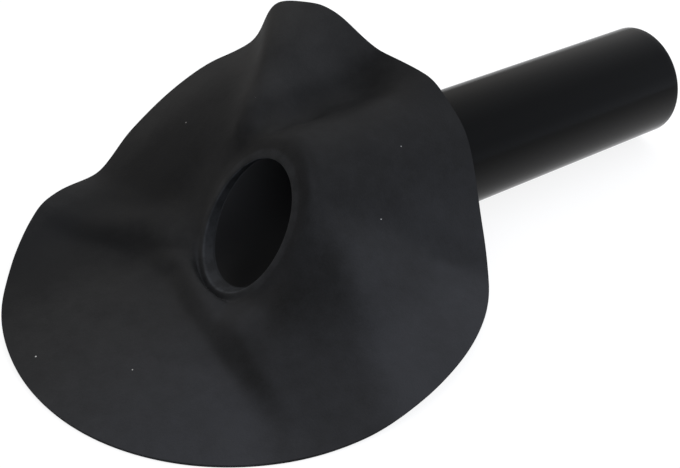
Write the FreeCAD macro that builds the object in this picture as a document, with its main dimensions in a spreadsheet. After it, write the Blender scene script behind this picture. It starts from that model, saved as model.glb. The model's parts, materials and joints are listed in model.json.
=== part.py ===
import FreeCAD, Part
import Sketcher
import math
import os

# Roof drain outlet. A disc of soft rubber sheet has a short slanted neck round its hole, and the
# neck's sleeve is bonded over the slanted end of a plain drain pipe, which seats on a shoulder so
# that neck and pipe have one even bore. The outlet lies as it was put down: the pipe rests along
# +X, and the sheet lies flat on the ground in front of the mouth, leans against the neck at its
# sides and drapes over the pipe behind it, with one tall fold at the back. Lengths are millimetres,
# angles degrees and +Z is up.

Vector = FreeCAD.Vector

# The driving dimensions, each a cell of the spreadsheet.
DIMENSIONS = (
    ("pipe_radius", 55.0),
    ("pipe_wall", 6.6),
    # along the axis, from the middle of the pipe's slanted end to its square end
    ("pipe_run", 449.5),
    # along the axis, from the mouth back to the pipe's slanted end
    ("pipe_recess", 10.5),
    # between the mouth's plane and a square cut, with the top of the mouth leaning back
    ("mouth_slant", 36.0),
    # the film of adhesive between pipe and neck
    ("bond_gap", 0.2),
    # from the pipe's bore out to the neck's, so that nothing catches on the joint
    ("bore_step", 0.2),
    ("sleeve_wall", 3.3),
    # along the axis, from the mouth to the sleeve's hidden end
    ("sleeve_reach", 30.0),
    # the depth of the rolled lip, from the mouth back to where the sheet leaves it
    ("lip_depth", 3.0),
    # the air under the sheet at the lowest part of the lip
    ("lip_rise", 2.0),
    ("sheet_radius", 209.0),
    ("sheet_thickness", 2.5),
    # where the middle of the rim lies, from the point under the mouth's centre
    ("rim_back", 1.5),
    ("rim_left", 3.0),
    # the air under the sheet where it drapes over the pipe and the sleeve
    ("drape_gap", 1.8),
)

# The folds, ray by ray round the mouth: the azimuth from +X towards +Y, then the height of the
# sheet's underside at each station past the lip, in hundredths of the sleeve's height. Between the
# rays and along them the sheet runs smoothly.
FOLDS = (
    (-175, 1, 4, 4, 1),
    (-150, 1, 3, 2, 0),
    (-140, 1, 2, 2, 0),
    (-132, 4, 1, 1, 0),
    (-124, 9, 3, 1, 0),
    (-110, 18, 10, 2, 0),
    (-95, 33, 21, 9, 1),
    (-80, 46, 29, 14, 6),
    (-68, 57, 37, 17, 8),
    (-56, 66, 42, 18, 7),
    (-37, 78, 51, 21, 3),
    (-27, 89, 73, 44, 22),
    (-15, 98, 95, 79, 58),
    (-4, 101, 101, 100, 97),
    (4, 102, 102, 103, 109),
    (12, 101, 98, 96, 110),
    (21, 98, 91, 88, 112),
    (27, 95, 86, 91, 121),
    (34, 91, 87, 107, 136),
    (40, 91, 96, 121, 142),
    (47, 91, 104, 126, 142),
    (52, 93, 107, 124, 138),
    (57, 94, 104, 106, 107),
    (63, 92, 95, 96, 95),
    (70, 80, 85, 87, 86),
    (80, 62, 69, 71, 68),
    (94, 40, 43, 42, 38),
    (107, 25, 21, 15, 10),
    (120, 14, 12, 9, 17),
    (127, 8, 5, 5, 18),
    (133, 3, 1, 1, 14),
    (140, 3, 1, 2, 8),
    (152, 1, 4, 4, 1),
    (168, 1, 5, 5, 3),
)
# Where along a ray the lip and then each height of the fold table lies, with the rim at 1.
STATIONS = (0.0, 0.15, 0.4, 0.7, 1.0)
# The bend in front of the mouth, where the sheet leaves the ground: how far left of the mouth's
# centre, how far behind it the foot of the slope lies, and the slope's rise, all in hundredths of
# the sleeve's height.
FOOT = (
    (-154, -60, 0),
    (-130, -62, 4),
    (-97, -63, 7),
    (-63, -63, 9),
    (-34, -63, 10),
    (-5, -61, 11),
    (26, -58, 11),
    (46, -60, 10),
    (63, -65, 9),
    (80, -74, 8),
    (107, -93, 5),
    (137, -113, 2),
    (160, -124, 0),
)
# The length of that slope, and of the stretch behind it over which its rise fades out again, in
# hundredths of the sleeve's height.
FOOT_WIDTH = 20.0
FOOT_FADE = 40.0
# The rows of poles along a ray, and the poles in each row.
SHARE_COUNT = 30
SHARES = tuple(k / SHARE_COUNT for k in range(SHARE_COUNT + 1))
ROW_POLES = 144
# The draped sheet leaves the pipe's flank on a straight slope this far round from the top.
FLANK_ANGLE = 60.0
# The sheet comes down from the sleeve's radius to the pipe's over this share of the sheet's radius.
EASE_SHARE = 0.2
# How softly sheet and pipe blend where they meet, as a share of the sleeve's height.
BLEND_SHARE = 0.035
# The sheet is free of what it drapes over at the lip, and lies on it after this share of a ray.
LEAVE_SHARE = 0.07
# How much a rim as high as the sleeve is drawn in, as a share of the sheet's radius.
DRAW_SHARE = 0.04
# Poles on a circle make a smaller round curve, so they stand out by this factor.
ROUND = 3.0 / (2.0 + math.cos(2.0 * math.pi / ROW_POLES))

doc = FreeCAD.newDocument("roof_drain_outlet")
sheet = doc.addObject("Spreadsheet::Sheet", "Dimensions")
for row, (alias, value) in enumerate(DIMENSIONS, start=1):
    sheet.set(f"A{row}", alias)
    sheet.set(f"B{row}", str(value))
    sheet.setAlias(f"B{row}", alias)
doc.recompute()
size = {alias: float(sheet.get(alias)) for alias, _ in DIMENSIONS}

slope = math.tan(math.radians(size["mouth_slant"]))
neck_bore = size["pipe_radius"] - size["pipe_wall"] + size["bore_step"]
seat = size["pipe_radius"] + size["bond_gap"]
sleeve = seat + size["sleeve_wall"]
sleeve_height = 2.0 * sleeve
# the sheet's upper face leaves the lip clear of the sleeve behind it
collar = sleeve + size["drape_gap"] + size["sheet_thickness"]
shoulder = size["pipe_recess"] - size["bond_gap"]
pipe_end = size["pipe_recess"] + size["pipe_run"]

# The sleeve's outside and the lower edge of the pipe's square end both touch the ground, so the axis
# dips a little from the mouth.
dip = math.asin(sleeve / math.hypot(pipe_end, size["pipe_radius"]))
dip -= math.atan2(size["pipe_radius"], pipe_end)
axis_lay = FreeCAD.Placement(
    Vector(0, 0, sleeve), FreeCAD.Rotation(Vector(0, 1, 0), math.degrees(dip))
)


def smooth(knots, values, at):
    """A curve through the values that turns only at the knots, with no overshoot between them."""
    spans = range(len(knots) - 1)
    rates = [(values[i + 1] - values[i]) / (knots[i + 1] - knots[i]) for i in spans]
    slopes = [rates[0]]
    for before, after in zip(rates, rates[1:]):
        turning = before * after <= 0
        slopes.append(0.0 if turning else 2.0 * before * after / (before + after))
    slopes.append(rates[-1])
    i = max(k for k in spans if knots[k] <= at or k == 0)
    span = knots[i + 1] - knots[i]
    near = (at - knots[i]) / span
    far = 1.0 - near
    held = values[i] * (1.0 + 2.0 * near) * far**2 + values[i + 1] * near**2 * (3.0 - 2.0 * near)
    return held + span * near * far * (slopes[i] * far - slopes[i + 1] * near)


def ease(share):
    """From 0 to 1 and level at both ends, for a share held to that range."""
    held = min(max(share, 0.0), 1.0)
    return held**2 * (3.0 - 2.0 * held)


def fold_heights(azimuth):
    """The underside's heights past the lip on the ray at this azimuth, from -180 to 180."""
    rows = [(a - 360, *rest) for a, *rest in FOLDS[-2:]]
    rows += FOLDS
    rows += [(a + 360, *rest) for a, *rest in FOLDS[:2]]
    knots = [r[0] for r in rows]
    columns = [[r[k] for r in rows] for k in range(1, len(STATIONS))]
    return [smooth(knots, column, azimuth) * sleeve_height / 100.0 for column in columns]


def bend_rise(x, y):
    """How far the bend in front of the mouth lifts the sheet at this place."""
    part = sleeve_height / 100.0
    knots, feet, rises = zip(*FOOT)
    aside = min(max(y / part, knots[0]), knots[-1])
    past = x / part - smooth(knots, feet, aside)
    fade = 1.0 - ease((past - FOOT_WIDTH) / FOOT_FADE)
    return smooth(knots, rises, aside) * part * ease(past / FOOT_WIDTH) * fade


def pipe_support(x, y):
    """The height of the sheet's upper face where it lies over the sleeve or the pipe."""
    sleeve_end = size["sleeve_reach"] + slope * sleeve
    past = (x - sleeve_end) / (EASE_SHARE * size["sheet_radius"])
    past = min(max(past, 0.0), 1.0)
    radius = sleeve + (size["pipe_radius"] - sleeve) * past
    radius += size["drape_gap"] + size["sheet_thickness"]
    flank = radius * math.sin(math.radians(FLANK_ANGLE))
    crown = math.sqrt(radius**2 - min(abs(y), flank) ** 2)
    fall = max(abs(y) - flank, 0.0) * math.tan(math.radians(FLANK_ANGLE))
    return sleeve - x * math.tan(dip) + crown - fall


def angles():
    """The angles of a row's poles about the pipe's axis, from the top towards +Y."""
    return [2.0 * math.pi * k / ROW_POLES for k in range(ROW_POLES)]


def neck_row(radius, back, lowest):
    """A slanted row round the neck, this far behind the mouth and nowhere below the lowest height."""
    row = []
    for angle in angles():
        up = ROUND * radius * math.cos(angle)
        left = ROUND * radius * math.sin(angle)
        point = axis_lay.multVec(Vector(back + slope * up, left, up))
        row.append(Vector(point.x, point.y, max(point.z, lowest)))
    return row


def sheet_rows():
    """The rows of the sheet's upper face, from the lip round the mouth out to the rim."""
    thickness = size["sheet_thickness"]
    blend = BLEND_SHARE * sleeve_height
    rows = [[] for _ in SHARES]
    for start in neck_row(collar, size["lip_depth"], thickness + size["lip_rise"]):
        azimuth = math.atan2(start.y, start.x)
        heights = [start.z - thickness, *fold_heights(math.degrees(azimuth))]
        drawn = DRAW_SHARE * heights[-1] / sleeve_height
        reach = size["sheet_radius"] * (1.0 - drawn)
        end_x = size["rim_back"] + reach * math.cos(azimuth)
        end_y = size["rim_left"] + reach * math.sin(azimuth)
        for row, share in zip(rows, SHARES):
            x = start.x + (end_x - start.x) * share
            y = start.y + (end_y - start.y) * share
            height = smooth(STATIONS, heights, share) + thickness + bend_rise(x, y)
            above = pipe_support(x, y) - height
            lift = (above + math.hypot(above, blend)) / 2.0
            height += lift * ease(share / LEAVE_SHARE) * ease(x / sleeve)
            row.append(Vector(x, y, height))
    return rows


def underside(rows):
    """The rows moved square to the sheet by its thickness, and nowhere below the ground."""
    last = len(rows) - 1
    moved = []
    for i, row in enumerate(rows):
        inner = rows[max(i - 1, 0)]
        outer = rows[min(i + 1, last)]
        new_row = []
        for j, point in enumerate(row):
            along = outer[j] - inner[j]
            across = row[(j + 1) % ROW_POLES] - row[j - 1]
            square = along.cross(across).normalize()
            lower = point - square * size["sheet_thickness"]
            new_row.append(Vector(lower.x, lower.y, max(lower.z, 0.0)))
        moved.append(new_row)
    return moved


def skin(rows):
    """A smooth face with these rows of poles, closed round the rows and ending on the first and last."""
    degree = min(3, len(rows) - 1)
    spans = len(rows) - degree
    surface = Part.BSplineSurface()
    surface.buildFromPolesMultsKnots(
        rows,
        [degree + 1] + [1] * (spans - 1) + [degree + 1],
        [1] * (ROW_POLES + 1),
        list(range(spans + 1)),
        list(range(ROW_POLES + 1)),
        False,
        True,
        degree,
        3,
    )
    return surface.toShape()


def flange_shape():
    """The rubber sheet and its neck, as one solid."""
    reach = size["sleeve_reach"]
    lip = size["lip_depth"]
    thickness = size["sheet_thickness"]
    upper = sheet_rows()
    lower = underside(upper)
    wall = [lip + (shoulder - lip) * part for part in (1.0, 0.75, 0.5, 0.25, 0.0)]
    front = [neck_row(neck_bore, back, 0.0) for back in wall]
    front += [neck_row(neck_bore, 0.0, 0.0), neck_row((neck_bore + seat) / 2.0, 0.0, thickness)]
    front += [neck_row(seat, 0.2 * lip, thickness)]
    front += upper
    back = lower[:0:-1] + [neck_row(sleeve, thickness + lip, 0.0)]
    back += [neck_row(sleeve, reach * part, 0.0) for part in (0.4, 0.6, 0.8, 1.0)]
    socket = [neck_row(seat, reach, 0.0), neck_row(seat, shoulder, 0.0)]
    faces = [skin(front), skin([front[-1], back[0]]), skin(back)]
    faces += [skin([back[-1], socket[0]]), skin(socket), skin([socket[-1], front[0]])]
    shell = Part.makeCompound(faces)
    shell.sewShape()
    solid = Part.Solid(shell.Shells[0])
    if solid.Volume < 0:
        solid.reverse()
    return solid


def plane_of(body, role):
    """The body's own origin plane with this role."""
    return next(f for f in body.Origin.OriginFeatures if f.Role == role)


def attached_sketch(body, name, role):
    """A sketch on one of the body's own origin planes."""
    sketch = body.newObject("Sketcher::SketchObject", name)
    sketch.AttachmentSupport = [(plane_of(body, role), "")]
    sketch.MapMode = "FlatFace"
    return sketch


def bound(sketch, index, name, expression):
    """Name a constraint of the sketch and bind it to the spreadsheet."""
    sketch.renameConstraint(index, name)
    sketch.setExpression(f"Constraints.{name}", expression)


def add_circle(sketch, name, radius, expression):
    """A circle about the sketch's origin, with its radius bound to the spreadsheet."""
    circle = sketch.addGeometry(Part.Circle(Vector(), Vector(0, 0, 1), radius), False)
    sketch.addConstraint(Sketcher.Constraint("Coincident", circle, 3, -1, 1))
    index = sketch.addConstraint(Sketcher.Constraint("Radius", circle, radius))
    bound(sketch, index, name, expression)


def add_outline(sketch, corners):
    """A closed outline whose corners are (name, x, y, expression of x, expression of y)."""
    count = len(corners)
    points = [Vector(x, y, 0) for _, x, y, _, _ in corners]
    lines = [
        sketch.addGeometry(Part.LineSegment(points[i], points[(i + 1) % count]), False)
        for i in range(count)
    ]
    for i, line in enumerate(lines):
        sketch.addConstraint(Sketcher.Constraint("Coincident", line, 2, lines[(i + 1) % count], 1))
    for line, (name, x, y, x_expression, y_expression) in zip(lines, corners):
        across = sketch.addConstraint(Sketcher.Constraint("DistanceX", -1, 1, line, 1, x))
        bound(sketch, across, f"{name}_across", x_expression)
        up = sketch.addConstraint(Sketcher.Constraint("DistanceY", -1, 1, line, 1, y))
        bound(sketch, up, f"{name}_up", y_expression)


def make_pipe():
    """A plain tube along its own X axis from the mouth's centre, with a slanted and a square end."""
    body = doc.addObject("PartDesign::Body", "pipe")
    section = attached_sketch(body, "pipe_section", "YZ_Plane")
    add_circle(section, "outside", size["pipe_radius"], "Dimensions.pipe_radius")
    inside = "Dimensions.pipe_radius - Dimensions.pipe_wall"
    add_circle(section, "inside", size["pipe_radius"] - size["pipe_wall"], inside)
    lead = "Dimensions.pipe_radius * tan(Dimensions.mouth_slant)"
    section.setExpression("AttachmentOffset.Base.z", f"Dimensions.pipe_recess - {lead}")
    tube = body.newObject("PartDesign::Pad", "tube")
    tube.Profile = section
    tube.setExpression("Length", f"Dimensions.pipe_run + {lead}")
    doc.recompute()
    whole = tube.Shape.Volume

    # Everything in front of the slanted end, seen from the side, goes.
    radius = size["pipe_radius"]
    recess = size["pipe_recess"]
    tip = recess - 2.0 * radius * slope
    below = "-2 * Dimensions.pipe_radius"
    above = "2 * Dimensions.pipe_radius"
    tip_text = "Dimensions.pipe_recess - 2 * Dimensions.pipe_radius * tan(Dimensions.mouth_slant)"
    top_text = "Dimensions.pipe_recess + 2 * Dimensions.pipe_radius * tan(Dimensions.mouth_slant)"
    waste = attached_sketch(body, "slant_waste", "XZ_Plane")
    add_outline(
        waste,
        (
            ("foot", tip, -2.0 * radius, tip_text, below),
            ("head", recess + 2.0 * radius * slope, 2.0 * radius, top_text, above),
            ("front", tip, 2.0 * radius, tip_text, above),
        ),
    )
    slant = body.newObject("PartDesign::Pocket", "slant")
    slant.Profile = waste
    slant.Midplane = True
    slant.setExpression("Length", "4 * Dimensions.pipe_radius")
    doc.recompute()
    if slant.Shape.Volume >= whole:
        raise RuntimeError("the slanted end isn't cut")
    return body


flange = doc.addObject("Part::Feature", "flange")
flange.Shape = flange_shape()
pipe = make_pipe()

# The origin is on the ground, under the middle of the outlet's box.
pipe_box = pipe.Shape.transformed(axis_lay.toMatrix()).optimalBoundingBox(False, False)
whole_box = flange.Shape.optimalBoundingBox(False, False)
whole_box.add(pipe_box)
to_origin = FreeCAD.Placement(
    Vector(-whole_box.Center.x, -whole_box.Center.y, 0), FreeCAD.Rotation()
)
flange.Placement = to_origin
pipe.Placement = to_origin.multiply(axis_lay)
doc.recompute()

for item in doc.Objects:
    if "Invalid" in item.State or "Error" in item.State:
        raise RuntimeError(f"{item.Label} failed")
for item in (flange, pipe):
    if item.Shape.isNull() or not item.Shape.isValid() or len(item.Shape.Solids) != 1:
        raise RuntimeError(f"{item.Label} isn't one valid solid")

os.makedirs("parts", exist_ok=True)
for item in (flange, pipe):
    item.Shape.exportStep(f"parts/{item.Label}.step")
    box = item.Shape.optimalBoundingBox(False, False)
    low = f"from {box.XMin:.2f} {box.YMin:.2f} {box.ZMin:.3f}"
    high = f"to {box.XMax:.2f} {box.YMax:.2f} {box.ZMax:.2f}"
    print(item.Label, f"volume {item.Shape.Volume:.0f}", low, high)
mouth = pipe.Placement.Base
print(f"mouth centre {mouth.x:.3f} {mouth.y:.3f} {mouth.z:.3f} dip {math.degrees(dip):.4f}")
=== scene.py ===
import json
import math

import bpy
import numpy as np
from mathutils import Matrix


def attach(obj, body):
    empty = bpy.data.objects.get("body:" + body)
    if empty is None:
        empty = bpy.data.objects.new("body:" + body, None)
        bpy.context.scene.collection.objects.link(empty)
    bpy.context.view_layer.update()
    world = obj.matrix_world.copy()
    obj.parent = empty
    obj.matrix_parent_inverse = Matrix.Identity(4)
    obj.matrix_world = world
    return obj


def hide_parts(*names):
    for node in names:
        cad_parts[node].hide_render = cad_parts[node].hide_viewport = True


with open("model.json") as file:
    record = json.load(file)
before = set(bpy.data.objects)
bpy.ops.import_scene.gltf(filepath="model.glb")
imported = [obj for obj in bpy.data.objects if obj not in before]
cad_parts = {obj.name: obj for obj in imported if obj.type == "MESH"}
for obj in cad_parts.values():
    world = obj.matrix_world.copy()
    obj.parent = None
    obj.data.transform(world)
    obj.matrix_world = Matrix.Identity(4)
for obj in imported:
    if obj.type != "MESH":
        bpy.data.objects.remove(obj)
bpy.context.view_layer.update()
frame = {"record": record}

bl_info = {
    "name": "Roof drain outlet",
    "version": (1, 0, 0),
    "blender": (4, 5, 0),
    "location": "View3D > Sidebar > Outlet",
    "description": "A draped rubber roof flange on a plain drain pipe, with its stage",
    "category": "Object",
}

MM = 0.001
BORE = next(m for m in frame["record"]["mounts"] if m["name"] == "pipe_bore")

# The folds, ray by ray round the mouth: the azimuth from +X towards +Y in degrees, then the height
# of the sheet's underside at each station from the lip to the rim, in hundredths of the sleeve's
# height.
FOLDS = np.array(
    (
        (-175, 1, 4, 4, 1),
        (-150, 1, 3, 2, 0),
        (-140, 1, 2, 2, 0),
        (-132, 4, 1, 1, 0),
        (-124, 9, 3, 1, 0),
        (-110, 18, 10, 2, 0),
        (-95, 33, 21, 9, 1),
        (-80, 46, 29, 14, 6),
        (-68, 57, 37, 17, 8),
        (-56, 66, 42, 18, 7),
        (-37, 78, 51, 21, 3),
        (-27, 89, 73, 44, 22),
        (-15, 98, 95, 79, 58),
        (-4, 101, 101, 100, 97),
        (4, 102, 102, 103, 109),
        (12, 101, 98, 96, 110),
        (21, 98, 91, 88, 112),
        (27, 95, 86, 91, 121),
        (34, 91, 87, 107, 136),
        (40, 91, 96, 121, 142),
        (47, 91, 104, 126, 142),
        (52, 93, 107, 124, 138),
        (57, 94, 104, 106, 107),
        (63, 92, 95, 96, 95),
        (70, 80, 85, 87, 86),
        (80, 62, 69, 71, 68),
        (94, 40, 43, 42, 38),
        (107, 25, 21, 15, 10),
        (120, 14, 12, 9, 17),
        (127, 8, 5, 5, 18),
        (133, 3, 1, 1, 14),
        (140, 3, 1, 2, 8),
        (152, 1, 4, 4, 1),
        (168, 1, 5, 5, 3),
    ),
    float,
)
WHOLE_TURN = np.array((360, 0, 0, 0, 0))
# Where along a ray the lip and then each height of the fold table lies, with the rim at 1.
STATIONS = np.array((0.0, 0.15, 0.4, 0.7, 1.0))
# The bend in front of the mouth, where the sheet leaves the ground: how far left of the mouth's
# centre, how far behind it the foot of the slope lies, and the slope's rise, all in hundredths of
# the sleeve's height.
FOOT = np.array(
    (
        (-154, -60, 0),
        (-130, -62, 4),
        (-97, -63, 7),
        (-63, -63, 9),
        (-34, -63, 10),
        (-5, -61, 11),
        (26, -58, 11),
        (46, -60, 10),
        (63, -65, 9),
        (80, -74, 8),
        (107, -93, 5),
        (137, -113, 2),
        (160, -124, 0),
    ),
    float,
)
# The length of that slope, and of the stretch behind it over which its rise fades out again, in
# hundredths of the sleeve's height.
FOOT_WIDTH = 20.0
FOOT_FADE = 40.0
# Where along a ray the rows of poles lie, the poles in each row, and the points drawn for each pole.
SHARES = np.linspace(0.0, 1.0, 31)
ROW_POLES = 144
POINTS_PER_POLE = 3
# The draped sheet leaves the pipe's flank on a straight slope this far round from the top.
FLANK_ANGLE = math.radians(60.0)
# The sheet comes down from the sleeve's radius to the pipe's over this share of the sheet's radius.
EASE_SHARE = 0.2
# How softly sheet and pipe blend where they meet, as a share of the sleeve's height.
BLEND_SHARE = 0.035
# The sheet is free of what it drapes over at the lip, and lies on it after this share of a ray.
LEAVE_SHARE = 0.07
# How much a rim as high as the sleeve is drawn in, as a share of the sheet's radius.
DRAW_SHARE = 0.04

# Where the rows of poles lie on the neck's inside from the lip to the shoulder, on the sleeve's outside
# from the mouth to its end, and in the socket from the sleeve's end to the shoulder.
NECK_SHARES = (1.0, 0.75, 0.5, 0.25, 0.0)
SLEEVE_SHARES = (0.4, 0.6, 0.8, 1.0)
SOCKET_SHARES = (0.0, 0.3, 0.7, 1.0)
# How far behind the mouth the lip's outer row lies, in lip depths.
LIP_ROLL = 0.2
# Rows across the cut rim, from the upper face to the underside.
RIM_SHARES = (0.15, 0.35, 0.65, 0.85)
# Points drawn for each span between poles, on the upper face and elsewhere.
FACE_POINTS = 3
BACK_POINTS = 2
# Points on the rounding of each edge of the pipe.
EDGE_POINTS = 5
# Faces that meet at more than this angle keep a sharp edge.
SHARP_ANGLE = math.radians(50.0)
# The attribute that holds how level the skin lies: the upward part of its unit normal.
# The rubber's colour reads it to paint light on the faces that look up.
LEVEL = "level"

# Directions that the rubber's bloom and its painted light follow: to the front right, to the back of the
# tall fold, and square to the crest of the fold on the right.
TO_FRONT = (0.25, -0.97, 0.0)
TO_BACK = (-0.2, 0.8, 0.5)
TO_CREST = (0.961, -0.277, 0.0)
# Where each mask of the bloom and its painted light is 0 and where it is 1. Places are distances from the
# mouth's centre along one of those directions, or to the left, and heights are above the ground.
FRONT_PLACE = (-0.1, 0.12)
FAR_LEFT_PLACE = (-0.06, -0.15)
BACK_PLACE = (0.1, 0.2)
LOW_HEIGHT = (0.12, 0.04)
LOBE_HEIGHT = (0.105, 0.125)
LOBE_PLACE = (0.07, 0.09)
RIGHT_PLACE = (-0.057, -0.092)
# How level a face lies where the painted light on faces that look up starts and where it is full.
UPWARD_PAINTED_LIGHT = (0.78, 1.0)
# Bands of painted light and shade along the fold on the right, at the foot of the bend, on a darker patch
# and on the fold's crest: how much bloom each has more, over which distance towards the crest it starts,
# and over which it ends.
FOLD_PAINTED_LIGHT_BANDS = (
    (0.08, (-0.08, -0.05), (-0.015, -0.04)),
    (-0.38, (-0.045, -0.012), (0.08, 0.05)),
    (0.12, (0.05, 0.08), (0.13, 0.08)),
)
# Scales of the rubber's patterns, per metre.
GRAIN_SCALE = 560.0
MOTTLE_SCALE = 90.0
CLOUD_SCALE = 14.0
WAVE_SCALE = 26.0
SPECK_SCALE = 120.0
# A speck's radius in cells of its pattern, and the share of the cells that stay bare.
SPECK_RADIUS = 0.08
SPECK_BARE = 0.98
# The pattern of the pipe's drawing lines, per metre along and across, and of its dust.
LINE_SCALES = (9.0, 270.0, 270.0)
DUST_SCALE = 18.0
# The painted shade in the bore pales into painted light upwards and inwards by so much per metre, between
# these sums of both.
PAINTED_LIGHT_UP = 8.0
PAINTED_LIGHT_IN = 7.0
PAINTED_LIGHT_SPAN = (-0.5, 0.4)

# The floor reaches this far each way, and lies this far under the outlet.
FLOOR_REACH = 6.0
FLOOR_DROP = 0.0002
# What the camera sees of the floor: its own white, and how much of the light on it is added.
FLOOR_WHITE = 0.85
FLOOR_LIT = 0.18
WHITE = (1.0, 1.0, 1.0, 1.0)
# The room's lights: the way to each, the cosines off that way at which it starts and is full, and its
# strength. The key is beyond the pipe's far end, the fill over the back and the third on the right.
ROOM_LIGHTS = (
    ((0.88, -0.1, 0.46), 0.35, 1.0, 1.85),
    ((-0.13, 0.58, 0.8), 0.05, 0.95, 0.9),
    ((0.3, -0.94, 0.15), 0.45, 1.0, 1.1),
)
# The room's strength where none of them reaches.
ROOM_DIM = 0.08
# The room's tints, the direction in which the cool one takes over, and the cosines between which it
# does.
WARM_TINT = (1.0, 0.97, 0.93, 1.0)
COOL_TINT = (0.93, 0.98, 1.09, 1.0)
TO_COOL = (0.3, -0.95, 0.0)
COOL_SPAN = (-1.0, 0.8)

# The camera, read from the photo's perspective: its focal length and picture width in pixels, its
# sensor's width in millimetres, its place from the ground under the mouth's centre, the ways that it
# looks and has its right, and how far it sees.
FOCAL_LENGTH = 1000.0
PICTURE_WIDTH = 680.0
SENSOR_WIDTH = 36.0
CAMERA_PLACE = np.array((-0.2923, -0.5979, 0.5739))
CAMERA_FORWARD = np.array((0.4257, 0.6576, -0.6216))
CAMERA_RIGHT = np.array((0.8394, -0.5434, 0.0))
CAMERA_REACH = 50.0


class OutletSizes(bpy.types.PropertyGroup):
    """The outlet's sizes."""

    pipe_radius: bpy.props.FloatProperty(
        name="Pipe radius", description="Outside radius of the pipe", default=0.055, unit="LENGTH"
    )
    pipe_bore: bpy.props.FloatProperty(
        name="Pipe bore",
        description="Inside radius of the pipe",
        default=BORE["dims"]["r_mm"] * MM,
        unit="LENGTH",
    )
    pipe_run: bpy.props.FloatProperty(
        name="Pipe run",
        description="Along the axis, from the middle of the slanted end to the square end",
        default=0.4495,
        unit="LENGTH",
    )
    pipe_recess: bpy.props.FloatProperty(
        name="Pipe recess",
        description="From the mouth back to the pipe's slanted end",
        default=0.0105,
        unit="LENGTH",
    )
    pipe_edge: bpy.props.FloatProperty(
        name="Pipe edge", description="Rounding of the pipe's edges", default=0.0006, unit="LENGTH"
    )
    mouth_slant: bpy.props.FloatProperty(
        name="Mouth slant",
        description="Between the mouth's plane and a square cut",
        default=math.radians(36.0),
        unit="ROTATION",
        subtype="ANGLE",
    )
    bond_gap: bpy.props.FloatProperty(
        name="Bond gap", description="Film between pipe and neck", default=0.0002, unit="LENGTH"
    )
    bore_step: bpy.props.FloatProperty(
        name="Bore step",
        description="From the pipe's bore out to the neck's",
        default=0.0002,
        unit="LENGTH",
    )
    lip_depth: bpy.props.FloatProperty(
        name="Lip depth",
        description="Depth of the rolled lip round the mouth",
        default=0.003,
        unit="LENGTH",
    )
    lip_rise: bpy.props.FloatProperty(
        name="Lip rise",
        description="Air under the sheet at the lowest part of the lip",
        default=0.002,
        unit="LENGTH",
    )
    sleeve_wall: bpy.props.FloatProperty(
        name="Sleeve wall",
        description="Thickness of the sleeve round the pipe",
        default=0.0033,
        unit="LENGTH",
    )
    sleeve_reach: bpy.props.FloatProperty(
        name="Sleeve reach", description="From the mouth to the sleeve's end", default=0.03, unit="LENGTH"
    )
    sheet_radius: bpy.props.FloatProperty(
        name="Sheet radius", description="Radius of the rim on the ground", default=0.209, unit="LENGTH"
    )
    sheet_thickness: bpy.props.FloatProperty(
        name="Sheet thickness", description="Thickness of the sheet", default=0.0025, unit="LENGTH"
    )
    rim_back: bpy.props.FloatProperty(
        name="Rim back", description="Middle of the rim, along the pipe", default=0.0015, unit="LENGTH"
    )
    rim_left: bpy.props.FloatProperty(
        name="Rim left", description="Middle of the rim, across the pipe", default=0.003, unit="LENGTH"
    )
    rim_bulge: bpy.props.FloatProperty(
        name="Rim bulge", description="Rounding of the cut rim", default=0.0004, unit="LENGTH"
    )
    drape_gap: bpy.props.FloatProperty(
        name="Drape gap", description="Air under the draped sheet", default=0.0018, unit="LENGTH"
    )


class OutletColours(bpy.types.PropertyGroup):
    """The outlet's colours."""

    rubber: bpy.props.FloatVectorProperty(
        name="Rubber",
        description="The black sheet",
        default=(0.0098, 0.0099, 0.0101),
        subtype="COLOR",
        size=3,
    )
    # Bloom mixed with painted light: it goes on the faces that look up and on the lit folds.
    bloom_and_painted_light: bpy.props.FloatVectorProperty(
        name="Bloom",
        description="Bluish bloom on the sheet's right",
        default=(0.0268, 0.0275, 0.0303),
        subtype="COLOR",
        size=3,
    )
    # Greyer bloom mixed with painted light: it lightens the back of the tall fold and its lobe.
    chalk_and_painted_light: bpy.props.FloatVectorProperty(
        name="Chalk",
        description="Greyer bloom on the sheet's left",
        default=(0.0288, 0.0285, 0.0279),
        subtype="COLOR",
        size=3,
    )
    dust: bpy.props.FloatVectorProperty(
        name="Dust", description="Pale specks of dust", default=(0.45, 0.45, 0.43), subtype="COLOR", size=3
    )
    # Wear mixed with a painted highlight, on the lip, the neck's wall and the pipe's cut edge.
    rubbed_and_painted_highlight: bpy.props.FloatVectorProperty(
        name="Rubbed", description="Rubbed edges", default=(0.05, 0.053, 0.058), subtype="COLOR", size=3
    )
    plastic: bpy.props.FloatVectorProperty(
        name="Plastic",
        description="The black pipe",
        default=(0.0023, 0.0023, 0.0022),
        subtype="COLOR",
        size=3,
    )
    # Painted shade at the foot of the bore.
    bore_painted_shade: bpy.props.FloatVectorProperty(
        name="Silt",
        description="Dark film in the foot of the bore",
        default=(0.0085, 0.0085, 0.0087),
        subtype="COLOR",
        size=3,
    )
    # Painted light on the bore's roof and deep inside.
    bore_painted_light: bpy.props.FloatVectorProperty(
        name="Haze",
        description="Dull film on the bore's roof",
        default=(0.046, 0.046, 0.047),
        subtype="COLOR",
        size=3,
    )
    floor: bpy.props.FloatVectorProperty(
        name="Floor", description="The pale floor", default=(0.9, 0.9, 0.9), subtype="COLOR", size=3
    )


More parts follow.
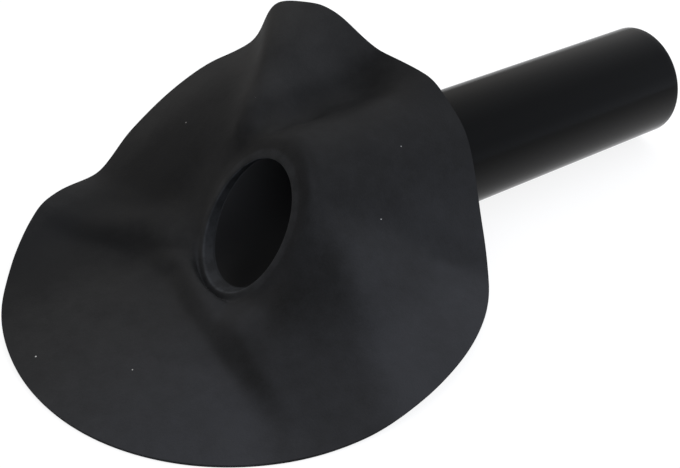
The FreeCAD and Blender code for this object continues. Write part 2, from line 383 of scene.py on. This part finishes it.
class Wire:
    """The output of a node, with arithmetic that adds Math nodes."""

    def __init__(self, paint, socket):
        self.paint = paint
        self.socket = socket

    def _math(self, operation, first, second):
        return self.paint.node("ShaderNodeMath", {"operation": operation}, {0: first, 1: second})

    def __add__(self, other):
        return self._math("ADD", self, other)

    __radd__ = __add__

    def __mul__(self, other):
        return self._math("MULTIPLY", self, other)

    __rmul__ = __mul__

    def __sub__(self, other):
        return self._math("SUBTRACT", self, other)

    def __rsub__(self, other):
        return self._math("SUBTRACT", other, self)

    def __pow__(self, other):
        return self._math("POWER", self, other)

    def __lt__(self, other):
        return self._math("LESS_THAN", self, other)

    def __gt__(self, other):
        return self._math("GREATER_THAN", self, other)


class Paint:
    """The nodes of one material, or of the world."""

    def __init__(self, owner):
        owner.use_nodes = True
        self.tree = owner.node_tree
        self.tree.nodes.clear()

    def node(self, kind, settings=None, sockets=None, out=0):
        """A node of this kind with its settings, then its sockets' values or links, as the Wire of one of
        its outputs."""
        made = self.tree.nodes.new(kind)
        for name, value in (settings or {}).items():
            setattr(made, name, value)
        for name, value in (sockets or {}).items():
            if isinstance(value, Wire):
                self.tree.links.new(value.socket, made.inputs[name])
            else:
                made.inputs[name].default_value = value
        return Wire(self, made.outputs[out]) if len(made.outputs) else None

    def mix(self, share, first, second):
        """A colour between two."""
        return self.node("ShaderNodeMix", {"data_type": "RGBA"}, {0: share, 6: first, 7: second}, 2)

    def noise(self, place, scale, detail, rough, distortion=0.0):
        """A cloudy value about 0.5."""
        sockets = {"Vector": place, "Scale": scale, "Detail": detail, "Roughness": rough}
        sockets["Distortion"] = distortion
        return self.node("ShaderNodeTexNoise", {}, sockets)

    def along(self, way, axis):
        """How far a direction points, or a place lies, along an axis."""
        return self.node("ShaderNodeVectorMath", {"operation": "DOT_PRODUCT"}, {0: way, 1: axis}, "Value")

    def between(self, value, low, high):
        """The value stretched so that low gives 0 and high gives 1, eased and held to that range; low may
        be the greater."""
        sockets = {"Value": value, "From Min": low, "From Max": high}
        return self.node("ShaderNodeMapRange", {"interpolation_type": "SMOOTHSTEP"}, sockets)

    def band(self, value, start, end):
        """1 on a band of values, eased in over its start and out over its end."""
        return self.between(value, *start) * self.between(value, *end)

    def bump(self, strength, distance, height):
        """The normal of a surface with this relief."""
        sockets = {"Strength": strength, "Distance": distance, "Height": height}
        return self.node("ShaderNodeBump", {}, sockets)

    def surface(self, sockets):
        """The Principled shader with these sockets, as the material's surface."""
        shader = self.node("ShaderNodeBsdfPrincipled", {}, sockets)
        self.node("ShaderNodeOutputMaterial", {}, {"Surface": shader})


def new_material(name):
    """An empty material and its nodes."""
    material = bpy.data.materials.new(name)
    return material, Paint(material)


def opaque(colour):
    """A colour with full alpha."""
    return (*colour, 1.0)


def bloom_and_painted_light_share(paint, place, shape, front):
    """How much blooming and painted light lies on the rubber, apart from its fine mottle: clouds, thicker
    where the sheet lies low, and in front most where it lies level, painted light on the faces that look
    up, on the back of the tall fold and on its high lobe, and thinner far to the left, painted shade. To
    the right of the mouth it changes in bands of painted light and shade along the fold there."""
    cloud = paint.noise(place, CLOUD_SCALE, detail=4.0, rough=0.55, distortion=0.6)
    height = paint.node("ShaderNodeSeparateXYZ", {}, {0: place}, "Z")
    _, left, _ = shape.axis_frame(paint, place)
    low = paint.between(height, *LOW_HEIGHT)
    level = paint.node("ShaderNodeAttribute", {"attribute_name": LEVEL}, out="Fac")
    level = paint.between(level, *UPWARD_PAINTED_LIGHT)
    far_left = paint.between(shape.from_mouth(paint, place, TO_FRONT), *FAR_LEFT_PLACE)
    back = paint.between(shape.from_mouth(paint, place, TO_BACK), *BACK_PLACE)
    lobe = paint.between(height, *LOBE_HEIGHT) * paint.between(left, *LOBE_PLACE)
    # Painted light: lighter where the sheet looks up in front, on the back of the tall fold and on its
    # lobe; painted shade far to the left.
    bloom_and_painted_light = low * (0.32 + 0.48 * front * level - 0.5 * far_left) + 0.95 * back + 0.45 * lobe
    across = shape.from_mouth(paint, place, TO_CREST)
    # Painted light and shade in bands across the fold on the right.
    fold = sum(more * paint.band(across, start, end) for more, start, end in FOLD_PAINTED_LIGHT_BANDS)
    return bloom_and_painted_light + fold * paint.between(left, *RIGHT_PLACE) + 0.5 * (cloud - 0.42)


def lip_wear_and_highlight_masks(paint, place, shape, mottle):
    """Two masks: the neck's wall inside the mouth, and how worn the lip is together with its painted
    highlight, in patches on a ring round the mouth and most on the wall's front edge, where it paints light
    on the wall."""
    off_axis = shape.off_axis(paint, place)
    behind = shape.behind_mouth(paint, place)
    wall = paint.between(off_axis, shape.neck_bore + 1.0 * MM, shape.neck_bore + 0.4 * MM)
    wall = wall * (behind > -1.0 * MM)
    ring = paint.between(off_axis, shape.seat + 2.0 * MM, shape.seat - 1.0 * MM)
    ring = ring * paint.between(behind, -4.0 * MM, -1.0 * MM)
    edge = paint.between(behind, 3.0 * MM, 0.8 * MM)
    patches = 0.5 + 0.5 * paint.between(mottle, 0.35, 0.6)
    # The second mask paints a highlight on the lip and light on the neck's wall near its front edge,
    # besides wear.
    return wall, ring * (wall * (0.42 + 0.55 * edge) + 0.3) * patches


def dust_specks(paint, place):
    """A mask of small round specks, in the middle of a few cells of a scattered pattern."""
    cell = {"Vector": place, "Scale": SPECK_SCALE}
    distance = paint.node("ShaderNodeTexVoronoi", {}, cell, "Distance")
    tint = paint.node("ShaderNodeTexVoronoi", {}, cell, "Color")
    chance = paint.node("ShaderNodeSeparateColor", {}, {0: tint}, "Red")
    return (distance < SPECK_RADIUS) * (chance > SPECK_BARE)


def rubber_material(colours, shape):
    """Matt black rubber with a fine moulded grain: mottled blooming mixed with painted light and shade,
    bluish on the right and greyer on the left, a worn lip with a painted highlight and a few pale specks of
    dust."""
    material, paint = new_material("rubber_sheet")
    place = paint.node("ShaderNodeTexCoord", out="Object")
    grain = paint.noise(place, GRAIN_SCALE, detail=3.0, rough=0.6)
    mottle = paint.noise(place, MOTTLE_SCALE, detail=4.0, rough=0.65)
    waves = paint.noise(place, WAVE_SCALE, detail=1.0, rough=0.4)
    front = paint.between(shape.from_mouth(paint, place, TO_FRONT), *FRONT_PLACE)
    wall, lip = lip_wear_and_highlight_masks(paint, place, shape, mottle)
    bloom_and_painted_light = bloom_and_painted_light_share(paint, place, shape, front) + 0.55 * (mottle - 0.5) + 0.3 * (grain - 0.5)
    # The neck's wall takes less of the bloom and its painted light.
    bloom_and_painted_light = bloom_and_painted_light * (1.0 - 0.7 * wall)
    # Both bloom colours carry painted light besides bloom.
    bloom_and_painted_light_colour = paint.mix(front, opaque(colours.chalk_and_painted_light), opaque(colours.bloom_and_painted_light))
    colour = paint.mix(bloom_and_painted_light, opaque(colours.rubber), bloom_and_painted_light_colour)
    # A painted highlight and wear on the lip.
    colour = paint.mix(0.6 * lip, colour, opaque(colours.rubbed_and_painted_highlight))
    colour = paint.mix(dust_specks(paint, place), colour, opaque(colours.dust))
    rough = 0.66 + 0.1 * (mottle - 0.5) + 0.06 * bloom_and_painted_light - 0.16 * lip
    relief = grain + 2.0 * mottle + 8.0 * waves
    bump = paint.bump(strength=0.3, distance=0.4 * MM, height=relief)
    sockets = {"Base Color": colour, "Roughness": rough, "Normal": bump}
    paint.surface(sockets | {"IOR": 1.5, "Specular IOR Level": 0.07})
    return material


def plastic_material(colours, shape):
    """Satin black plastic with faint drawing lines along the pipe, glossier on its lower half, with a
    worn edge with a painted highlight at the slanted end, and inside, painted shade that pales upwards and
    inwards into painted light."""
    material, paint = new_material("pipe_plastic")
    place = paint.node("ShaderNodeTexCoord", out="Object")
    drawn = paint.node("ShaderNodeMapping", {}, {"Vector": place, "Scale": LINE_SCALES})
    lines = paint.noise(drawn, 1.0, detail=3.0, rough=0.6)
    dust = paint.noise(place, DUST_SCALE, detail=4.0, rough=0.6)
    radius, bore = shape.sizes.pipe_radius, shape.sizes.pipe_bore
    inside = shape.off_axis(paint, place) < (bore + radius) / 2.0
    # A painted highlight with wear along the inner edge of the pipe's slanted end.
    cut = paint.between(shape.behind_mouth(paint, place) - shape.sizes.pipe_recess, 1.8 * MM, 0.6 * MM)
    along, _, up = shape.axis_frame(paint, place)
    # Painted light and shade in the bore: darker at the foot, paler upwards and inwards.
    painted_light_and_shade = paint.between(PAINTED_LIGHT_IN * along + PAINTED_LIGHT_UP * up, *PAINTED_LIGHT_SPAN)
    painted_light_and_shade = paint.mix(painted_light_and_shade, opaque(colours.bore_painted_shade), opaque(colours.bore_painted_light))
    colour = paint.mix(inside, opaque(colours.plastic), painted_light_and_shade)
    colour = paint.mix(0.6 * cut * dust, colour, opaque(colours.rubbed_and_painted_highlight))
    rough = 0.17 + 0.08 * (lines - 0.5) + 0.08 * (dust - 0.5) + 0.2 * inside
    gloss = 0.24 * paint.between(up, 0.6 * radius, -0.1 * radius) * (1.0 - inside)
    bump = paint.bump(strength=0.15, distance=0.3 * MM, height=lines)
    sockets = {"Base Color": colour, "Roughness": rough, "Normal": bump, "Coat Weight": gloss}
    paint.surface(sockets | {"IOR": 1.5, "Specular IOR Level": 0.03, "Coat Roughness": 0.25})
    return material


def smooth(knots, values, at):
    """Through rows of values at the knots, a cubic whose slope is the harmonic mean of its neighbours', so
    that it turns only at the knots; the result has one row for each parameter."""
    rates = np.diff(values, axis=0) / np.diff(knots)[:, None]
    before, after = rates[:-1], rates[1:]
    same = before * after > 0
    means = 2.0 * before * after / np.where(same, before + after, 1.0)
    slopes = np.vstack([rates[:1], np.where(same, means, 0.0), rates[-1:]])
    i = np.clip(np.searchsorted(knots, at, side="right") - 1, 0, len(knots) - 2)
    span = (knots[i + 1] - knots[i])[:, None]
    near = (at - knots[i])[:, None] / span
    far = 1.0 - near
    held = values[i] * (1.0 + 2.0 * near) * far**2 + values[i + 1] * near**2 * (3.0 - 2.0 * near)
    return held + span * near * far * (slopes[i] * far - slopes[i + 1] * near)


def ease(share):
    """From 0 to 1 and level at both ends, for a share held to that range."""
    held = np.clip(share, 0.0, 1.0)
    return held**2 * (3.0 - 2.0 * held)


class OutletShape:
    """The rows of poles that the sheet and its neck are drawn from, in metres, in the part's frame."""

    def __init__(self, sizes):
        self.sizes = sizes
        self.slope = math.tan(sizes.mouth_slant)
        self.neck_bore = sizes.pipe_bore + sizes.bore_step
        self.seat = sizes.pipe_radius + sizes.bond_gap
        self.sleeve = self.seat + sizes.sleeve_wall
        self.height = 2.0 * self.sleeve
        self.cover = sizes.drape_gap + sizes.sheet_thickness
        self.shoulder = sizes.pipe_recess - sizes.bond_gap
        self.end = sizes.pipe_recess + sizes.pipe_run
        self.dip = math.asin(self.sleeve / math.hypot(self.end, sizes.pipe_radius))
        self.dip -= math.atan2(sizes.pipe_radius, self.end)
        self.mouth = np.array(BORE["pos_m"]) - np.array(BORE["axis"]) * self.end

    def from_mouth(self, paint, place, way):
        """How far along a direction a point lies from the mouth's centre, as a node output."""
        return paint.along(place, way) - float(np.dot(self.mouth, way))

    def axis_frame(self, paint, place):
        """A point's places along, left of and above the pipe's axis from the mouth's centre, as node
        outputs."""
        x, y, z = (paint.node("ShaderNodeSeparateXYZ", {}, {0: place}, axis) for axis in "XYZ")
        x, z = x - self.mouth[0], z - self.sleeve
        sine, cosine = math.sin(self.dip), math.cos(self.dip)
        return x * cosine - z * sine, y - self.mouth[1], x * sine + z * cosine

    def off_axis(self, paint, place):
        """A point's distance from the pipe's axis, as a node output."""
        _, left, up = self.axis_frame(paint, place)
        return (left * left + up * up) ** 0.5

    def behind_mouth(self, paint, place):
        """How far along the axis a point lies behind the mouth's plane, as a node output."""
        along, _, up = self.axis_frame(paint, place)
        return along - up * self.slope

    def laid(self, along, left, up):
        """Points along, left of and above the pipe's axis, counted from the mouth's centre: the axis dips
        a little, so that sleeve and pipe both touch the ground."""
        x = along * math.cos(self.dip) + up * math.sin(self.dip)
        z = up * math.cos(self.dip) - along * math.sin(self.dip)
        return np.stack([x + self.mouth[0], left + self.mouth[1], z + self.sleeve], axis=-1)

    def neck_row(self, radius, back, lowest=0.0):
        """A slanted circle round the axis, nowhere lower than given: poles on a circle make a smaller round
        curve, so they stand out a little for the curve to have the radius."""
        angle = np.arange(ROW_POLES) * 2.0 * np.pi / ROW_POLES
        wide = radius * 3.0 / (2.0 + math.cos(2.0 * np.pi / ROW_POLES))
        left, up = wide * np.sin(angle), wide * np.cos(angle)
        row = self.laid(back + self.slope * up, left, up)
        row[:, 2] = np.maximum(row[:, 2], lowest)
        return row

    def support(self, x, y):
        """The height of the sheet's upper face over the sleeve or the pipe: a circle round the axis, and
        past its flank angle the straight slope that touches it there."""
        sizes = self.sizes
        sleeve_end = sizes.sleeve_reach + self.slope * self.sleeve
        past = np.clip((x - sleeve_end) / (EASE_SHARE * sizes.sheet_radius), 0.0, 1.0)
        radius = self.sleeve + (sizes.pipe_radius - self.sleeve) * past + self.cover
        flank = radius * math.sin(FLANK_ANGLE)
        crown = np.sqrt(radius**2 - np.minimum(np.abs(y), flank) ** 2)
        fall = np.maximum(np.abs(y) - flank, 0.0) * math.tan(FLANK_ANGLE)
        return self.sleeve - x * math.tan(self.dip) + crown - fall

    def bend(self, x, y):
        """The rise of the bend in front of the mouth: it eases in over the slope from the foot, and out
        again behind it."""
        part = self.height / 100.0
        aside = np.clip(y / part, FOOT[0, 0], FOOT[-1, 0])
        foot, rise = smooth(FOOT[:, 0], FOOT[:, 1:], aside.ravel()).T.reshape(2, *aside.shape)
        past = x / part - foot
        return rise * part * ease(past / FOOT_WIDTH) * (1.0 - ease((past - FOOT_WIDTH) / FOOT_FADE))

    def sheet_rows(self):
        """The upper face: straight rays in plan from the collar round the lip to the rim's circle, each
        with the fold table's heights along it, raised by the bend and lifted smoothly over the pipe."""
        sizes = self.sizes
        thick = sizes.sheet_thickness
        start = self.neck_row(self.sleeve + self.cover, sizes.lip_depth, thick + sizes.lip_rise)
        start = start - self.mouth * (1, 1, 0)
        azimuth = np.arctan2(start[:, 1], start[:, 0])
        turned = np.concatenate([FOLDS[-2:] - WHOLE_TURN, FOLDS, FOLDS[:2] + WHOLE_TURN])
        folds = smooth(turned[:, 0], turned[:, 1:], np.degrees(azimuth)) * self.height / 100.0
        reach = sizes.sheet_radius * (1.0 - DRAW_SHARE * folds[:, -1] / self.height)
        end_x = sizes.rim_back + reach * np.cos(azimuth)
        end_y = sizes.rim_left + reach * np.sin(azimuth)
        share = SHARES[:, None]
        x = start[:, 0] + (end_x - start[:, 0]) * share
        y = start[:, 1] + (end_y - start[:, 1]) * share
        z = smooth(STATIONS, np.vstack([start[:, 2] - thick, folds.T]), SHARES) + thick
        z = z + self.bend(x, y)
        over = self.support(x, y)
        lifted = (over - z + np.hypot(z - over, BLEND_SHARE * self.height)) / 2.0
        z = z + lifted * ease(share / LEAVE_SHARE) * ease(x / self.sleeve)
        return np.stack([x + self.mouth[0], y + self.mouth[1], z], axis=-1)

    def underside(self, rows):
        """The rows moved square to the sheet by its thickness, and nowhere below the ground."""
        along = np.concatenate([rows[1:2] - rows[:1], rows[2:] - rows[:-2], rows[-1:] - rows[-2:-1]])
        across = np.roll(rows, -1, axis=1) - np.roll(rows, 1, axis=1)
        square = np.cross(along, across)
        square /= np.linalg.norm(square, axis=-1, keepdims=True)
        lower = rows - square * self.sizes.sheet_thickness
        lower[..., 2] = np.maximum(lower[..., 2], 0.0)
        return lower


def curve_weights(count, per_span):
    """The weights of this many poles along a cubic that ends on its first and last pole, by the
    Cox-de Boor rule, at evenly spaced points of each span."""
    spans = count - 3
    at = np.linspace(0.0, spans, spans * per_span + 1)
    at[-1] -= 1e-9
    at = at[:, None]
    knots = np.concatenate([np.zeros(3), np.arange(spans + 1), np.full(3, spans)]).astype(float)
    weights = ((knots[:-1] <= at) & (at < knots[1:])).astype(float)
    for degree in (1, 2, 3):
        rise = knots[degree:-1] - knots[: -degree - 1]
        fall = knots[degree + 1 :] - knots[1:-degree]
        up = (at - knots[: -degree - 1]) / np.where(rise > 0, rise, 1.0)
        down = (knots[degree + 1 :] - at) / np.where(fall > 0, fall, 1.0)
        weights = up * weights[:, :-1] * (rise > 0) + down * weights[:, 1:] * (fall > 0)
    return weights


def spline_rows(poles, per_span):
    """The smooth surface of a grid of poles: cubic along the columns, and cubic and closed round the
    rows."""
    poles = np.asarray(poles)
    rows = np.einsum("ij,jkl->ikl", curve_weights(len(poles), per_span), poles)
    s = (np.arange(POINTS_PER_POLE) / POINTS_PER_POLE)[:, None]
    parts = ((1 - s) ** 3, 3 * s**3 - 6 * s**2 + 4, 1 + 3 * s + 3 * s**2 - 3 * s**3, s**3)
    finer = sum(np.roll(rows, 1 - k, axis=1)[:, :, None, :] * part / 6.0 for k, part in enumerate(parts))
    return finer.reshape(len(rows), -1, 3)


def ring_mesh(name, rows):
    """A closed skin on a grid that runs round both ways, with its faces turned outwards, and with how
    level it lies at each corner."""
    count, around = rows.shape[:2]
    points = rows.reshape(-1, 3)
    index = np.arange(count * around).reshape(count, around)
    right = np.roll(index, -1, axis=1)
    quads = np.stack([index, right, np.roll(right, -1, axis=0), np.roll(index, -1, axis=0)], axis=-1)
    quads = quads.reshape(-1, 4)
    a, b, c, d = (points[quads[:, k]] for k in range(4))
    if np.einsum("ij,ij->", (a + b + c + d) / 4.0, np.cross(c - a, d - b)) < 0:
        quads = quads[:, ::-1]
    mesh = bpy.data.meshes.new(name)
    mesh.vertices.add(len(points))
    mesh.vertices.foreach_set("co", points.ravel())
    mesh.loops.add(quads.size)
    mesh.loops.foreach_set("vertex_index", quads.ravel())
    mesh.polygons.add(len(quads))
    mesh.polygons.foreach_set("loop_start", np.arange(0, quads.size, 4))
    mesh.polygons.foreach_set("use_smooth", np.ones(len(quads), dtype=bool))
    mesh.update(calc_edges=True)
    if mesh.validate():
        raise RuntimeError(f"{name} has bad faces")
    mesh.set_sharp_from_angle(angle=SHARP_ANGLE)
    normals = np.empty(quads.size * 3)
    mesh.corner_normals.foreach_get("vector", normals)
    mesh.attributes.new(LEVEL, "FLOAT", "CORNER").data.foreach_set("value", normals[2::3])
    piece = bpy.data.objects.new(name, mesh)
    bpy.context.scene.collection.objects.link(piece)
    return piece


class OUTLET_OT_flange(bpy.types.Operator):
    """Make the draped rubber sheet with its neck"""

    bl_idname = "outlet.flange"
    bl_label = "Rubber flange"

    def execute(self, context):
        sizes = context.scene.outlet_sizes
        shape = OutletShape(sizes)
        piece = ring_mesh("flange_sheet", self.skin(sizes, shape))
        piece.data.materials.append(rubber_material(context.scene.outlet_colours, shape))
        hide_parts("flange")
        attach(piece, "root")
        return {"FINISHED"}

    def skin(self, sizes, shape):
        """The rows of the whole skin: from the shoulder out through the neck, over the lip and along the
        upper face, round the rim, back along the underside and the sleeve, and in through the socket."""
        thick, lip = sizes.sheet_thickness, sizes.lip_depth
        shoulder, far = shape.shoulder, sizes.sleeve_reach
        upper = shape.sheet_rows()
        lower = shape.underside(upper)
        neck = [shape.neck_row(shape.neck_bore, lip + (shoulder - lip) * part) for part in NECK_SHARES]
        neck += [shape.neck_row(shape.neck_bore, 0.0)]
        neck += [shape.neck_row((shape.neck_bore + shape.seat) / 2.0, 0.0, thick)]
        neck += [shape.neck_row(shape.seat, LIP_ROLL * lip, thick)]
        sleeve = [shape.neck_row(shape.sleeve, thick + lip)]
        sleeve += [shape.neck_row(shape.sleeve, far * part) for part in SLEEVE_SHARES]
        socket = [shape.neck_row(shape.seat, far + (shoulder - far) * part) for part in SOCKET_SHARES]
        front = spline_rows([*neck, *upper], FACE_POINTS)
        back = spline_rows([*lower[:0:-1], *sleeve], BACK_POINTS)
        share = np.array(RIM_SHARES)[:, None, None]
        outward = front[-1] - front[-2]
        outward /= np.linalg.norm(outward, axis=-1, keepdims=True)
        bulge = sizes.rim_bulge * (1.0 - (2.0 * share - 1.0) ** 2)
        rim = front[-1] * (1.0 - share) + back[0] * share + outward * bulge
        return np.concatenate([front, rim, back, spline_rows(socket, BACK_POINTS)])


class OUTLET_OT_pipe(bpy.types.Operator):
    """Make the plain drain pipe"""

    bl_idname = "outlet.pipe"
    bl_label = "Drain pipe"

    around: bpy.props.IntProperty(name="Around", description="Points round the pipe", default=288)
    along: bpy.props.IntProperty(name="Along", description="Points along the pipe", default=60)

    def execute(self, context):
        sizes = context.scene.outlet_sizes
        shape = OutletShape(sizes)
        piece = ring_mesh("pipe_tube", self.skin(sizes, shape))
        piece.data.materials.append(plastic_material(context.scene.outlet_colours, shape))
        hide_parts("pipe")
        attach(piece, "root")
        return {"FINISHED"}

    def skin(self, sizes, shape):
        """The rows of the whole skin: a profile of two walls and four rounded edges, carried round the
        axis, with its near end on the slanted plane and its far end square."""
        bore, outside = sizes.pipe_bore, sizes.pipe_radius
        turn = np.linspace(0.0, np.pi / 2.0, EDGE_POINTS)
        falling = sizes.pipe_edge * (1.0 - np.sin(turn))
        rising = sizes.pipe_edge * (1.0 - np.cos(turn))
        near, far = np.zeros(EDGE_POINTS), np.ones(EDGE_POINTS)
        wall = np.linspace(0.0, 1.0, self.along)[1:-1]
        straight = np.zeros(len(wall))
        # radius, share of the way from the slanted end to the square end, and offset along the axis
        profile = (
            (bore + rising, near, falling),
            (outside - falling, near, rising),
            (outside + straight, wall, straight),
            (outside - rising, far, -falling),
            (bore + falling, far, -rising),
            (bore + straight, wall[::-1], straight),
        )
        radius, share, offset = (np.concatenate(part)[:, None] for part in zip(*profile))
        angle = np.arange(self.around) * 2.0 * np.pi / self.around
        start = sizes.pipe_recess + shape.slope * radius * np.cos(angle)
        along = start + (shape.end - start) * share + offset
        return shape.laid(along, radius * np.sin(angle), radius * np.cos(angle))


class OUTLET_OT_stage(bpy.types.Operator):
    """Make the pale floor, the soft light and the camera"""

    bl_idname = "outlet.stage"
    bl_label = "Stage"

    def execute(self, context):
        scene = context.scene
        scene.view_settings.view_transform = "Standard"
        self.floor(scene)
        self.light(scene)
        self.camera(scene)
        return {"FINISHED"}

    def floor(self, scene):
        """A wide level square just under the outlet, white to the camera but for the faint shadow."""
        mesh = bpy.data.meshes.new("floor")
        signs = ((-1, -1), (1, -1), (1, 1), (-1, 1))
        corners = [(FLOOR_REACH * x, FLOOR_REACH * y, -FLOOR_DROP) for x, y in signs]
        mesh.from_pydata(corners, [], [(0, 1, 2, 3)])
        floor = bpy.data.objects.new("floor", mesh)
        scene.collection.objects.link(floor)
        material, paint = new_material("pale_floor")
        rays = ("Is Camera Ray", "Is Glossy Ray", "Is Transmission Ray")
        camera, gloss, glass = (paint.node("ShaderNodeLightPath", out=ray) for ray in rays)
        white = paint.node("ShaderNodeEmission", {}, {"Color": WHITE, "Strength": FLOOR_WHITE})
        faint = paint.node("ShaderNodeBsdfDiffuse", {}, {"Color": opaque((FLOOR_LIT,) * 3)})
        lit = paint.node("ShaderNodeBsdfDiffuse", {}, {"Color": opaque(scene.outlet_colours.floor)})
        seen = paint.node("ShaderNodeAddShader", {}, {0: white, 1: faint})
        shown = paint.node("ShaderNodeMixShader", {}, {0: camera + gloss + glass, 1: lit, 2: seen})
        paint.node("ShaderNodeOutputMaterial", {}, {"Surface": shown})
        mesh.materials.append(material)

    def light(self, scene):
        """A dim room with three wide soft lights, cooler on the right, and white to the camera."""
        world = bpy.data.worlds.new("studio")
        scene.world = world
        paint = Paint(world)
        ray = paint.node("ShaderNodeLightPath", out="Is Camera Ray")
        way = paint.node("ShaderNodeTexCoord", out="Generated")
        strength = ROOM_DIM
        for source, start, full, power in ROOM_LIGHTS:
            strength = strength + power * paint.between(paint.along(way, source), start, full)
        cool = paint.between(paint.along(way, TO_COOL), *COOL_SPAN)
        tint = paint.mix(cool, WARM_TINT, COOL_TINT)
        room = paint.node("ShaderNodeBackground", {}, {"Color": tint, "Strength": strength})
        white = paint.node("ShaderNodeBackground", {}, {"Color": WHITE, "Strength": 1.0})
        shown = paint.node("ShaderNodeMixShader", {}, {0: ray, 1: room, 2: white})
        paint.node("ShaderNodeOutputWorld", {}, {"Surface": shown})

    def camera(self, scene):
        """A camera above and in front of the mouth, to its right."""
        data = bpy.data.cameras.new("camera")
        data.lens = SENSOR_WIDTH * FOCAL_LENGTH / PICTURE_WIDTH
        data.sensor_width = SENSOR_WIDTH
        data.clip_end = CAMERA_REACH
        camera = bpy.data.objects.new("camera", data)
        place = CAMERA_PLACE + OutletShape(scene.outlet_sizes).mouth * (1, 1, 0)
        forward = CAMERA_FORWARD / np.linalg.norm(CAMERA_FORWARD)
        right = CAMERA_RIGHT / np.linalg.norm(CAMERA_RIGHT)
        axes = np.stack([right, np.cross(right, forward), -forward], axis=1)
        camera.matrix_world = Matrix.Translation(place) @ Matrix(axes.tolist()).to_4x4()
        scene.collection.objects.link(camera)
        scene.camera = camera


class OUTLET_PT_panel(bpy.types.Panel):
    """The outlet's sizes, colours and pieces"""

    bl_idname = "OUTLET_PT_panel"
    bl_label = "Roof drain outlet"
    bl_space_type = "VIEW_3D"
    bl_region_type = "UI"
    bl_category = "Outlet"

    def draw(self, context):
        for group in (context.scene.outlet_sizes, context.scene.outlet_colours):
            for name in group.__annotations__:
                self.layout.prop(group, name)
        for operator in OPERATORS:
            self.layout.operator(operator.bl_idname)


OPERATORS = (OUTLET_OT_flange, OUTLET_OT_pipe, OUTLET_OT_stage)
CLASSES = (OutletSizes, OutletColours, *OPERATORS, OUTLET_PT_panel)


def register():
    for item in CLASSES:
        bpy.utils.register_class(item)
    bpy.types.Scene.outlet_sizes = bpy.props.PointerProperty(type=OutletSizes)
    bpy.types.Scene.outlet_colours = bpy.props.PointerProperty(type=OutletColours)


def unregister():
    del bpy.types.Scene.outlet_colours
    del bpy.types.Scene.outlet_sizes
    for item in reversed(CLASSES):
        bpy.utils.unregister_class(item)


def main():
    register()
    bpy.ops.outlet.flange()
    bpy.ops.outlet.pipe()
    bpy.ops.outlet.stage()


if __name__ == "__main__":
    main()
